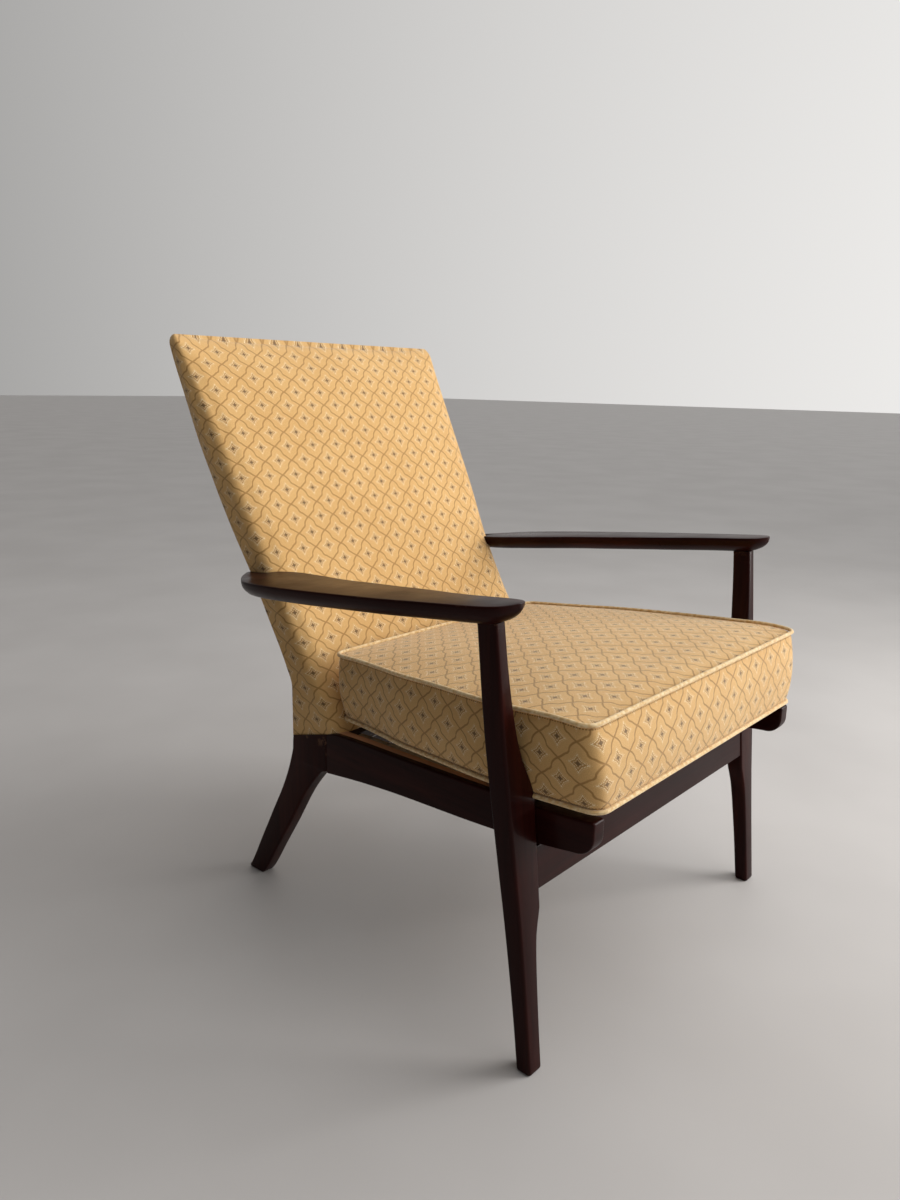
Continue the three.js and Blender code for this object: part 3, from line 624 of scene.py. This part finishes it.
def damask(name, shift=(0.0, 0.0), lean=0.0, figured=True, lines=0.85, stitched=False):
    """Gold damask: an ogee trellis of darker satin round small stepped diamonds with a pale outline."""
    material, tree, shader = new_tree(name)
    source = tree.nodes.new("ShaderNodeUVMap")
    source.uv_map = "cloth"
    split = tree.nodes.new("ShaderNodeSeparateXYZ")
    tree.links.new(source.outputs[0], split.inputs[0])
    across, up = split.outputs[0], split.outputs[1]
    waver = spread(tree, noise(tree, source.outputs[0], 28.0, 2.0), 0.3, 0.7, -0.0007, 0.0007)
    leaning = maths(tree, "MULTIPLY_ADD", up, -lean, across)
    u_place = maths(tree, "ADD", maths(tree, "SUBTRACT", leaning, shift[0]), waver)
    v_place = maths(tree, "ADD", maths(tree, "SUBTRACT", up, shift[1]), waver)
    u = maths(tree, "DIVIDE", u_place, DAMASK_WIDE)
    v = maths(tree, "DIVIDE", v_place, DAMASK_TALL)

    def wrapped(value):
        return maths(tree, "SUBTRACT", maths(tree, "FRACT", maths(tree, "ADD", value, 0.5)), 0.5)

    def edge_curve(value):
        node = tree.nodes.new("ShaderNodeFloatCurve")
        curve = node.mapping.curves[0]
        stops = (
            (0.0, 0.5), (0.2, 0.63), (0.36, 0.53), (0.50, 0.22),
            (0.57, 0.20), (0.66, 0.31), (0.82, 0.37), (1.0, 0.5),
        )
        curve.points[0].location = stops[0]
        curve.points[1].location = stops[-1]
        for stop in stops[1:-1]:
            curve.points.new(*stop)
        node.mapping.update()
        tree.links.new(value, node.inputs["Value"])
        return maths(tree, "MULTIPLY", maths(tree, "SUBTRACT", node.outputs[0], 0.5), 0.24)

    rising = maths(tree, "ADD", u, v)
    falling = maths(tree, "SUBTRACT", u, v)
    first_edge = edge_curve(maths(tree, "FRACT", maths(tree, "ADD", falling, 0.5)))
    second_edge = edge_curve(maths(tree, "FRACT", maths(tree, "SUBTRACT", 0.5, rising)))
    beside_first = maths(tree, "SUBTRACT", maths(tree, "SUBTRACT", rising, 0.5), first_edge)
    beside_second = maths(tree, "ADD", maths(tree, "ADD", falling, 0.5), second_edge)
    to_first = maths(tree, "ABSOLUTE", wrapped(beside_first))
    to_second = maths(tree, "ABSOLUTE", wrapped(beside_second))
    trellis = spread(tree, maths(tree, "MINIMUM", to_first, to_second), 0.016, 0.050, 1.0, 0.0, "SMOOTHSTEP")

    picks = 56.0
    stepped_u = maths(tree, "DIVIDE", maths(tree, "ROUND", maths(tree, "MULTIPLY", u, picks)), picks)
    stepped_v = maths(tree, "DIVIDE", maths(tree, "ROUND", maths(tree, "MULTIPLY", v, picks)), picks)
    cell_a = wrapped(maths(tree, "ADD", stepped_u, stepped_v))
    cell_b = wrapped(maths(tree, "SUBTRACT", stepped_u, stepped_v))
    local_u = maths(tree, "MULTIPLY", maths(tree, "ADD", cell_a, cell_b), 0.5)
    local_v = maths(tree, "MULTIPLY", maths(tree, "SUBTRACT", cell_a, cell_b), 0.5)
    square = maths(tree, "MAXIMUM", maths(tree, "ABSOLUTE", cell_a), maths(tree, "ABSOLUTE", cell_b))
    pinch = maths(tree, "MINIMUM", maths(tree, "ABSOLUTE", local_u), maths(tree, "ABSOLUTE", local_v))
    radius = maths(tree, "MULTIPLY_ADD", pinch, 0.55, square)
    outlines = [
        (0.0, 0.0), (0.100, 0.70), (0.121, 0.0), (0.188, 1.0), (0.214, 0.0), (0.256, 0.30), (0.272, 0.0),
    ]
    pale = ramp(tree, radius, outlines, "CONSTANT")
    core = spread(tree, radius, 0.062, 0.082, 1.0, 0.0)
    shade_inside = spread(tree, radius, 0.180, 0.190, 0.80, 0.0)

    if stitched:
        above_low = maths(tree, "SUBTRACT", up, STITCH_LOW)
        below_high = maths(tree, "SUBTRACT", STITCH_HIGH, up)
        from_seam = maths(tree, "MINIMUM", above_low, below_high)
        on_line = spread(tree, maths(tree, "ABSOLUTE", from_seam), 0.0005, 0.0012, 0.85, 0.0)
        along_stitch = maths(tree, "FRACT", maths(tree, "DIVIDE", across, STITCH_PITCH))
        dash = maths(tree, "LESS_THAN", along_stitch, 0.62)
        on_border = maths(tree, "GREATER_THAN", across, BORDER_UV_START / 2)
        stitches = maths(tree, "MULTIPLY", maths(tree, "MULTIPLY", on_line, dash), on_border)

    threads = maths(tree, "MULTIPLY", up, 1.0 / 0.0009)
    ribs = maths(tree, "ABSOLUTE", maths(tree, "SINE", maths(tree, "MULTIPLY", threads, math.pi)))
    ends = maths(tree, "ABSOLUTE", maths(tree, "SINE", maths(tree, "MULTIPLY", across, math.pi / 0.0007)))
    weave = maths(tree, "MULTIPLY", ribs, ends)
    slub = noise(tree, source.outputs[0], 900.0, 2.0, 0.7)
    wear = noise(tree, source.outputs[0], 9.0, 4.0, 0.6)

    ground = mix(tree, spread(tree, slub, 0.3, 0.7, 0.0, 1.0), GOLD_DEEP, GOLD_PALE)
    ground = mix(tree, spread(tree, wear, 0.35, 0.7, 0.0, 0.30), ground, (0.84, 0.56, 0.25))
    with_line = mix(tree, maths(tree, "MULTIPLY", trellis, lines), ground, (0.33, 0.165, 0.040))
    with_line = mix(tree, shade_inside, with_line, (0.46, 0.235, 0.066))
    with_pale = mix(tree, pale, with_line, CREAM)
    finished = mix(tree, maths(tree, "MULTIPLY", core, 0.88), with_pale, (0.15, 0.088, 0.042))
    if not figured:
        # Painted highlight: the plain piping cloth is mixed part way to cream, as where the cord catches the
        # light, mottled by noise.
        piping_catchlight = noise(tree, source.outputs[0], 160.0, 1.0)
        finished = mix(tree, spread(tree, piping_catchlight, 0.35, 0.65, 0.10, 0.65), ground, CREAM)
    if stitched:
        finished = mix(tree, stitches, finished, (0.20, 0.10, 0.03))
    # Painted shade: the gaps between the threads are darkened towards brown.
    shaded = mix(tree, spread(tree, weave, 0.0, 0.6, 0.16, 0.0), finished, (0.30, 0.19, 0.09))
    tree.links.new(shaded, shader.inputs["Base Color"])
    shader.inputs["Sheen Weight"].default_value = 0.55
    shader.inputs["Sheen Roughness"].default_value = 0.42
    shader.inputs["Sheen Tint"].default_value = (1.0, 0.93, 0.80, 1)
    shader.inputs["Specular IOR Level"].default_value = 0.28
    tree.links.new(spread(tree, pale, 0.0, 1.0, 0.82, 0.58), shader.inputs["Roughness"])
    raised = maths(tree, "MULTIPLY", pale, 0.6)
    relief = maths(tree, "SUBTRACT", raised, maths(tree, "MULTIPLY", trellis, 0.7))
    weave_normal = bump(tree, shader, weave, 0.00018, 0.6)
    bump(tree, shader, relief, 0.00035, 0.8, weave_normal)
    return material


def puff(piece, pressure, frames, most, pinned):
    """Lets the sewn cover find its shape round the foam, and then caps how far a point has moved."""
    group = piece.vertex_groups.new(name="held")
    group.add(pinned, 1.0, "REPLACE")
    cloth = piece.modifiers.new("cloth", "CLOTH")
    settings = cloth.settings
    settings.quality = 5
    settings.mass = 0.3
    settings.tension_stiffness = 18
    settings.compression_stiffness = 18
    settings.shear_stiffness = 6
    settings.bending_stiffness = 1.2
    settings.air_damping = 3
    settings.use_pressure = True
    settings.uniform_pressure_force = pressure
    settings.vertex_group_mass = "held"
    settings.effector_weights.gravity = 0
    cloth.point_cache.frame_start = 1
    cloth.point_cache.frame_end = frames
    scene = bpy.context.scene
    for number in range(1, frames + 1):
        scene.frame_set(number)
    settled = piece.evaluated_get(bpy.context.evaluated_depsgraph_get()).to_mesh()
    moved = [v.co.copy() for v in settled.vertices]
    piece.modifiers.remove(cloth)
    scene.frame_set(1)
    for vertex, target in zip(piece.data.vertices, moved):
        shift = target - vertex.co
        inward = min(0.0, shift.dot(vertex.normal))
        shift -= vertex.normal * inward
        if shift.length > most:
            shift *= most / shift.length
        vertex.co += shift
    piece.data.update()


BACK_LEAN = 0.06
back_shift = (-0.0255 - BACK_LEAN * 0.465, 0.4635 - DAMASK_TALL / 2)
# Painted light: the back's copy paints its trellis lines lighter (0.76) than the cushion's (0.85), one cloth
# coloured apart for how the light falls on each.
BACK_DAMASK = damask("damask_on_back", back_shift, BACK_LEAN, lines=0.76)
points, faces, corner_uv, tacked = back_cover_mesh()
back_cloth = object_from("back_upholstery", points, faces, BACK_DAMASK, 60, corner_uv)
back_cloth.data.flip_normals()
puff(back_cloth, 1.6, 14, 4 * MM, tacked)
fixed(back_cloth, "damask", "back_cover", "back_padding")


def outside_back():
    rows = [*np.linspace(BACK_BOTTOM, 850, 50), 855, 859, 862, 864.5]
    across = 40
    points, uvs = [], []
    for z in rows:
        half = back_half(z) - top_round(z) - 1.5
        for j in range(across + 1):
            x = half * (1 - 2 * j / across)
            edge_fall = max(0.0, (abs(x) - (half - 6)) / 6)
            y = back_rear(z) - top_round(z) + 1.6 - 2.6 * edge_fall ** 2
            low = z + (under_back(y) - z) * max(0.0, 1 - (z - BACK_BOTTOM) / 60)
            points.append(place(x, y, sunk(x, low, half)))
            uvs.append((x * MM, face_length(z) * MM))
    faces = []
    for i in range(len(rows) - 1):
        for j in range(across):
            a = i * (across + 1) + j
            faces.append((a, a + across + 1, a + across + 2, a + 1))
    corner_uv = [uvs[v] for face in faces for v in face]
    return object_from("outside_back", points, faces, BACK_DAMASK, 60, corner_uv)


panel = outside_back()
thick = panel.modifiers.new("thickness", "SOLIDIFY")
thick.thickness = 0.003
thick.offset = 0
fixed(panel, "damask", "outside_back_panel")

# ---------------------------------------------------------------------------
# Armrests: boat-shaped boards, flat on top and undercut below so that they
# look thin, notched at the rear to run past the side of the back, where one
# screw through the back's frame holds each of them.
# ---------------------------------------------------------------------------
arm_outer = through([
    (26, 322), (30, 333), (36, 343), (45, 349), (55, 352), (70, 354), (100, 355.5), (140, 357),
    (208, 360), (280, 358.5), (350, 356), (400, 352.5), (450, 347), (500, 336), (540, 312), (565, 292),
    (580, 277), (590, 266),
])
arm_inner = through([
    (26, 316), (30, 308), (36, 301), (45, 297), (60, 295), (112, 294), (154, 290), (183, 285),
    (248, 278), (302, 271), (357, 265), (396, 257), (435, 248), (471, 241), (500, 236), (520, 236),
    (543, 240), (590, 246),
])
arm_thick = through([(26, 7), (30, 12), (36, 16.5), (45, 20.5), (55, ARM_THICK), (600, ARM_THICK)])
ARM_EDGE = (  # inset and depth below the top, from the top arris round the undercut to the flat underside
    (2.6, 0.0), (1.2, 0.35), (0.35, 1.1), (0.0, 2.4), (0.1, 4.6), (0.9, 8.0), (2.8, 11.6),
    (6.0, 15.2), (9.6, 18.4), (13.0, 20.9), (15.6, 22.2), (18.4, 22.9), (21.0, 23.0),
)


def armrest(label, side):
    front_end = [26, 26.6, 27.5, 28.7, 30, 32, 34, 36.5, 39.5, 43, 47, 51, 56]
    rings = []
    for y in [*front_end, *np.linspace(62, 580, 84), 584, 587, 590]:
        outer, inner, thick = arm_outer(y), arm_inner(y), arm_thick(y)
        top = ARM_TOP - ARM_FALL * y
        reach = min(1.0, (outer - inner - 1) / 43)
        edge = [(inset * reach, top - depth * thick / ARM_THICK) for inset, depth in ARM_EDGE]
        outer_side = [place(outer - inset, y, z) for inset, z in edge]
        inner_side = [place(inner + inset, y, z) for inset, z in edge]
        rings.append(outer_side + inner_side[::-1])
    arm = lofted(f"{label}_armrest_board", rings, WOOD_LENGTHWISE, side, 45)
    shape = []
    for z in np.linspace(440, 600, 24):
        outline, _, _ = back_ring(z, grow=0.5)
        shape.append([place(x, y, z) for x, y in outline])
    notch = lofted("notch_cutter", shape, WOOD_LENGTHWISE)
    cut = arm.modifiers.new("notch", "BOOLEAN")
    cut.operation = "DIFFERENCE"
    cut.object = notch
    bpy.context.view_layer.objects.active = arm
    bpy.ops.object.modifier_apply(modifier="notch")
    bpy.data.objects.remove(notch)
    fixed(arm, "show_wood", f"{label}_armrest")


for label, side in SIDES:
    armrest(label, side)

# ---------------------------------------------------------------------------
# Hidden frame: planed beech. Two stiles and two rails inside the back and a ledge
# inside each side rail are bare; the rear seat rail is coloured near black as painted shade.
# ---------------------------------------------------------------------------


def planed_beech(name, deep, pale, fleck):
    material, tree, shader = new_tree(name)
    fine = noise(tree, stretched(tree, (160, 12, 160)), 1.0, 4.0, 0.6)
    flecks = noise(tree, stretched(tree, (420, 90, 420)), 1.0, 2.0, 0.5)
    tone = ramp(tree, fine, [(0.3, deep), (0.7, pale)])
    flecked = mix(tree, spread(tree, flecks, 0.55, 0.7, 0.0, 0.5), tone, fleck)
    tree.links.new(flecked, shader.inputs["Base Color"])
    shader.inputs["Roughness"].default_value = 0.6
    bump(tree, shader, fine, 0.0002)
    return material


def refinish(node_name, material):
    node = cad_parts[node_name]
    node.data.materials.clear()
    node.data.materials.append(material)


BEECH = planed_beech("planed_beech", (0.43, 0.27, 0.145), (0.60, 0.41, 0.24), (0.30, 0.17, 0.09))
# Near-black beech: painted shade for the rear seat rail, which sits in the dark under the cushion.
SHADE_DARK_BEECH = planed_beech(
    "beech_dark_as_painted_shade", (0.011, 0.003, 0.002), (0.026, 0.006, 0.004), (0.006, 0.002, 0.001))
for rail in ("back_top_rail", "back_bottom_rail"):
    refinish(rail, BEECH)
for label, side in SIDES:
    refinish(f"{label}_spring_ledge", BEECH)
    refinish(f"{label}_back_stile", BEECH)
refinish("rear_seat_rail", SHADE_DARK_BEECH)

# ---------------------------------------------------------------------------
# Springs and screws: close-coiled steel tension springs hooked across the seat
# into a punched strip on each ledge, lighter ones between the back stiles, and
# the steel screws that hold the arms and the side rails.
# ---------------------------------------------------------------------------


def drawn_steel():
    material, tree, shader = new_tree("drawn_steel")
    mottle = noise(tree, stretched(tree, (120, 120, 120)), 1.0, 4.0, 0.6)
    tone = ramp(tree, mottle, [(0.3, (0.20, 0.19, 0.18)), (0.7, (0.42, 0.41, 0.40))])
    tree.links.new(tone, shader.inputs["Base Color"])
    shader.inputs["Metallic"].default_value = 0.9
    tree.links.new(spread(tree, mottle, 0.3, 0.7, 0.3, 0.5), shader.inputs["Roughness"])
    return material


STEEL = drawn_steel()
for label, side in SIDES:
    for metal_piece in ("spring_strip", "arm_screw", "rail_screw_lower", "rail_screw_upper"):
        refinish(f"{label}_{metal_piece}", STEEL)


def coiled_spring(node_name):
    low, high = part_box(node_name)
    axis_y, axis_z = (low.y + high.y) / 2, (low.z + high.z) / 2
    wire = 0.0011
    radius = (high.z - low.z) / 2 - wire
    tail = 0.016
    first, last = low.x + tail, high.x - tail
    turns = int((last - first) / (2.3 * wire))
    steps = 9
    path = [(low.x + 0.001, axis_y, axis_z)]
    for k in range(turns * steps + 1):
        share = k / (turns * steps)
        turn = 2 * math.pi * k / steps
        near_end = min(1.0, 0.25 + 14 * min(share, 1 - share))
        reach = radius * near_end
        along = first + (last - first) * share
        path.append((along, axis_y + reach * math.cos(turn), axis_z + reach * math.sin(turn)))
    path.append((high.x - 0.001, axis_y, axis_z))
    curve = bpy.data.curves.new(f"{node_name}_coil", "CURVE")
    curve.dimensions = "3D"
    curve.bevel_depth = wire
    curve.bevel_resolution = 1
    curve.use_fill_caps = True
    spline = curve.splines.new("POLY")
    spline.points.add(len(path) - 1)
    for point, where in zip(spline.points, path):
        point.co = (*where, 1)
    curve.materials.append(STEEL)
    piece = bpy.data.objects.new(f"{node_name}_coil", curve)
    bpy.context.scene.collection.objects.link(piece)
    fixed(piece, "spring_steel", node_name)


for number in range(1, 10):
    coiled_spring(f"seat_spring_{number}")
for number in range(1, 7):
    refinish(f"back_spring_{number}", STEEL)

# ---------------------------------------------------------------------------
# Seat cushion: a 4 inch foam block in a sewn damask cover with a crowned top,
# a full border all round and self-piping in both seams. It tapers towards
# the back and falls with the rails, and only lies on the springs.
# ---------------------------------------------------------------------------
top_half = through([
    (-45, 281), (-6, 283), (57, 283), (115, 280), (185, 271), (265, 261), (314, 250), (366, 240), (424, 232),
])
top_level = through([
    (-45, 443.3), (-6, 445), (57, 441), (115, 437), (185, 433), (265, 427), (314, 423), (366, 419),
    (424, 414),
])
low_half = through([
    (-54, 263), (-25, 269), (20, 275), (62, 277.5), (115, 275), (185, 266), (265, 256), (314, 245),
    (366, 235), (424, 227),
])
low_level = through([
    (-54, 340.2), (0, 340.6), (62, 339.2), (115, 337.2), (185, 333.3), (265, 328.8), (413, 320.4),
])
TOP_SEAM = {"front": -43, "rear": 425, "corner": 15}
LOW_SEAM = {"front": -52, "rear": 413, "corner": 14}
TOP_CROWN = 11.0
LOW_SAG = -5.0
CELLS_ACROSS = 60
CELLS_DEEP = 52
BORDER_CELLS = 12
BORDER_BULGE = 7.0
BORDER_CLOTH = 0.102


def panel_rows(seam):
    """Depths of the grid rows, closer together where the corners turn."""
    front, rear, corner = seam["front"], seam["rear"], seam["corner"]
    turn = [corner * (1 - math.cos(k / 5 * math.pi / 2)) for k in range(5)]
    middle = np.linspace(front + corner, rear - corner, CELLS_DEEP - 9)
    return [front + t for t in turn] + list(middle) + [rear - t for t in reversed(turn)]


def seam_half(half, seam, y):
    corner = seam["corner"]
    into = corner - min(y - seam["front"], seam["rear"] - y, corner)
    return half(y) - (corner - math.sqrt(max(0.0, corner * corner - into * into)))


def cushion_mesh():
    points = []

    def add(point):
        points.append(point)
        return len(points) - 1

    grids = []
    panels = ((top_half, top_level, TOP_SEAM, TOP_CROWN), (low_half, low_level, LOW_SEAM, LOW_SAG))
    for half, level, seam, crown in panels:
        grid = []
        for y in panel_rows(seam):
            reach = seam_half(half, seam, y)
            row = []
            for j in range(CELLS_ACROSS + 1):
                across = 2 * j / CELLS_ACROSS - 1
                deep = 2 * (y - seam["front"]) / (seam["rear"] - seam["front"]) - 1
                lift = crown * (1 - abs(across) ** 3.5) * (1 - abs(deep) ** 5)
                row.append(add(place(reach * across, y, level(y) + lift)))
            grid.append(row)
        grids.append(grid)
    top, low = grids
    rows, columns = len(top), CELLS_ACROSS + 1

    def rim(grid):
        front = [grid[0][j] for j in range(columns)]
        left = [grid[i][-1] for i in range(1, rows)]
        rear = [grid[-1][j] for j in range(columns - 2, -1, -1)]
        right = [grid[i][0] for i in range(rows - 2, 0, -1)]
        return front + left + rear + right

    top_rim, low_rim = rim(top), rim(low)
    count = len(top_rim)
    walked = [0.0]
    for k in range(1, count + 1):
        step = (points[top_rim[k % count]] - points[top_rim[k - 1]]).length
        walked.append(walked[-1] + step)
    front_length = walked[columns - 1]
    strips = [low_rim]
    for level_index in range(1, BORDER_CELLS):
        share = level_index / BORDER_CELLS
        strip = []
        for k in range(count):
            a, b = points[low_rim[k]], points[top_rim[k]]
            before, after = points[top_rim[k - 1]], points[top_rim[(k + 1) % count]]
            along = (after - before).normalized()
            out = along.cross(Vector((0, 0, 1)))
            bulge = BORDER_BULGE * math.sin(math.pi * share) ** 0.8 * (1.15 - 0.3 * share)
            strip.append(add(a.lerp(b, share) + out * bulge * MM))
        strips.append(strip)
    strips.append(top_rim)

    faces, corner_uv = [], []
    for grid, flip in ((top, False), (low, True)):
        for i in range(rows - 1):
            for j in range(columns - 1):
                quad = [grid[i][j], grid[i][j + 1], grid[i + 1][j + 1], grid[i + 1][j]]
                if flip:
                    quad.reverse()
                faces.append(tuple(quad))
                corner_uv += [(points[v].x, points[v].y - FEET_Y) for v in quad]
    for s in range(BORDER_CELLS):
        for k in range(count):
            following = (k + 1) % count
            quad = [strips[s][k], strips[s][following], strips[s + 1][following], strips[s + 1][k]]
            faces.append(tuple(quad))
            starts = (walked[k], walked[k + 1], walked[k + 1], walked[k])
            rises = (s, s, s + 1, s + 1)
            for start, rise in zip(starts, rises):
                around = start - front_length / 2
                if around > walked[count] / 2:
                    around -= walked[count]
                beyond = max(0.0, abs(around) - 0.27) * 0.04
                along_border = BORDER_UV_START + around + math.copysign(beyond, around)
                corner_uv.append((along_border, rise / BORDER_CELLS * BORDER_CLOTH))
    return points, faces, corner_uv, top_rim, low_rim


CUSHION_DAMASK = damask("damask_on_cushion", shift=(-0.010, 0.0095), stitched=True)
# The piping's damask is painted paler than the cushion's, a painted highlight.
PIPING_DAMASK = damask("damask_bias_strip", figured=False)
points, faces, corner_uv, top_rim, low_rim = cushion_mesh()
cushion = object_from("seat_cushion_cloth", points, faces, CUSHION_DAMASK, 75, corner_uv)

puff(cushion, 3.0, 20, 8 * MM, top_rim + low_rim)
fine = cushion.modifiers.new("fine", "SUBSURF")
fine.levels = fine.render_levels = 1
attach(cushion, "seat_cushion")
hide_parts("cushion_cover", "cushion_foam")


def piping(name, rim, rise):
    """A cord covered in a narrow bias strip of the damask, sewn into the seam; its cloth is painted paler as
    a painted highlight.
    """
    path = [cushion.data.vertices[v].co.copy() for v in rim]
    centre = sum(path, Vector()) / len(path)
    count, sides = len(path), 12
    radius = 2.8 * MM
    points, faces, corner_uv, lengths = [], [], [], [0.0]
    for k in range(count):
        ahead, behind = path[(k + 1) % count], path[k - 1]
        lengths.append(lengths[-1] + (ahead - path[k]).length)
        out = (ahead - behind).cross(Vector((0, 0, 1))).normalized()
        if out.dot(path[k] - centre) < 0:
            out = -out
        middle = path[k] + out * 1.7 * MM + Vector((0, 0, rise * MM))
        for s in range(sides):
            turn = 2 * math.pi * s / sides
            points.append(middle + out * radius * math.cos(turn) + Vector((0, 0, radius * math.sin(turn))))
    for k in range(count):
        following = (k + 1) % count
        for s in range(sides):
            t = (s + 1) % sides
            faces.append((k * sides + s, k * sides + t, following * sides + t, following * sides + s))
            near, far = lengths[k], lengths[k + 1]
            for length, part in ((near, s), (near, s + 1), (far, s + 1), (far, s)):
                round_it = part / sides * 0.018
                corner_uv.append(((length + round_it) * 0.707, (length - round_it) * 0.707))
    piece = object_from(name, points, faces, PIPING_DAMASK, 80, corner_uv)
    face_outward(piece)
    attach(piece, "seat_cushion")


piping("cushion_piping_upper", top_rim, 1.4)
piping("cushion_piping_lower", low_rim, -0.4)

bpy.context.view_layer.update()
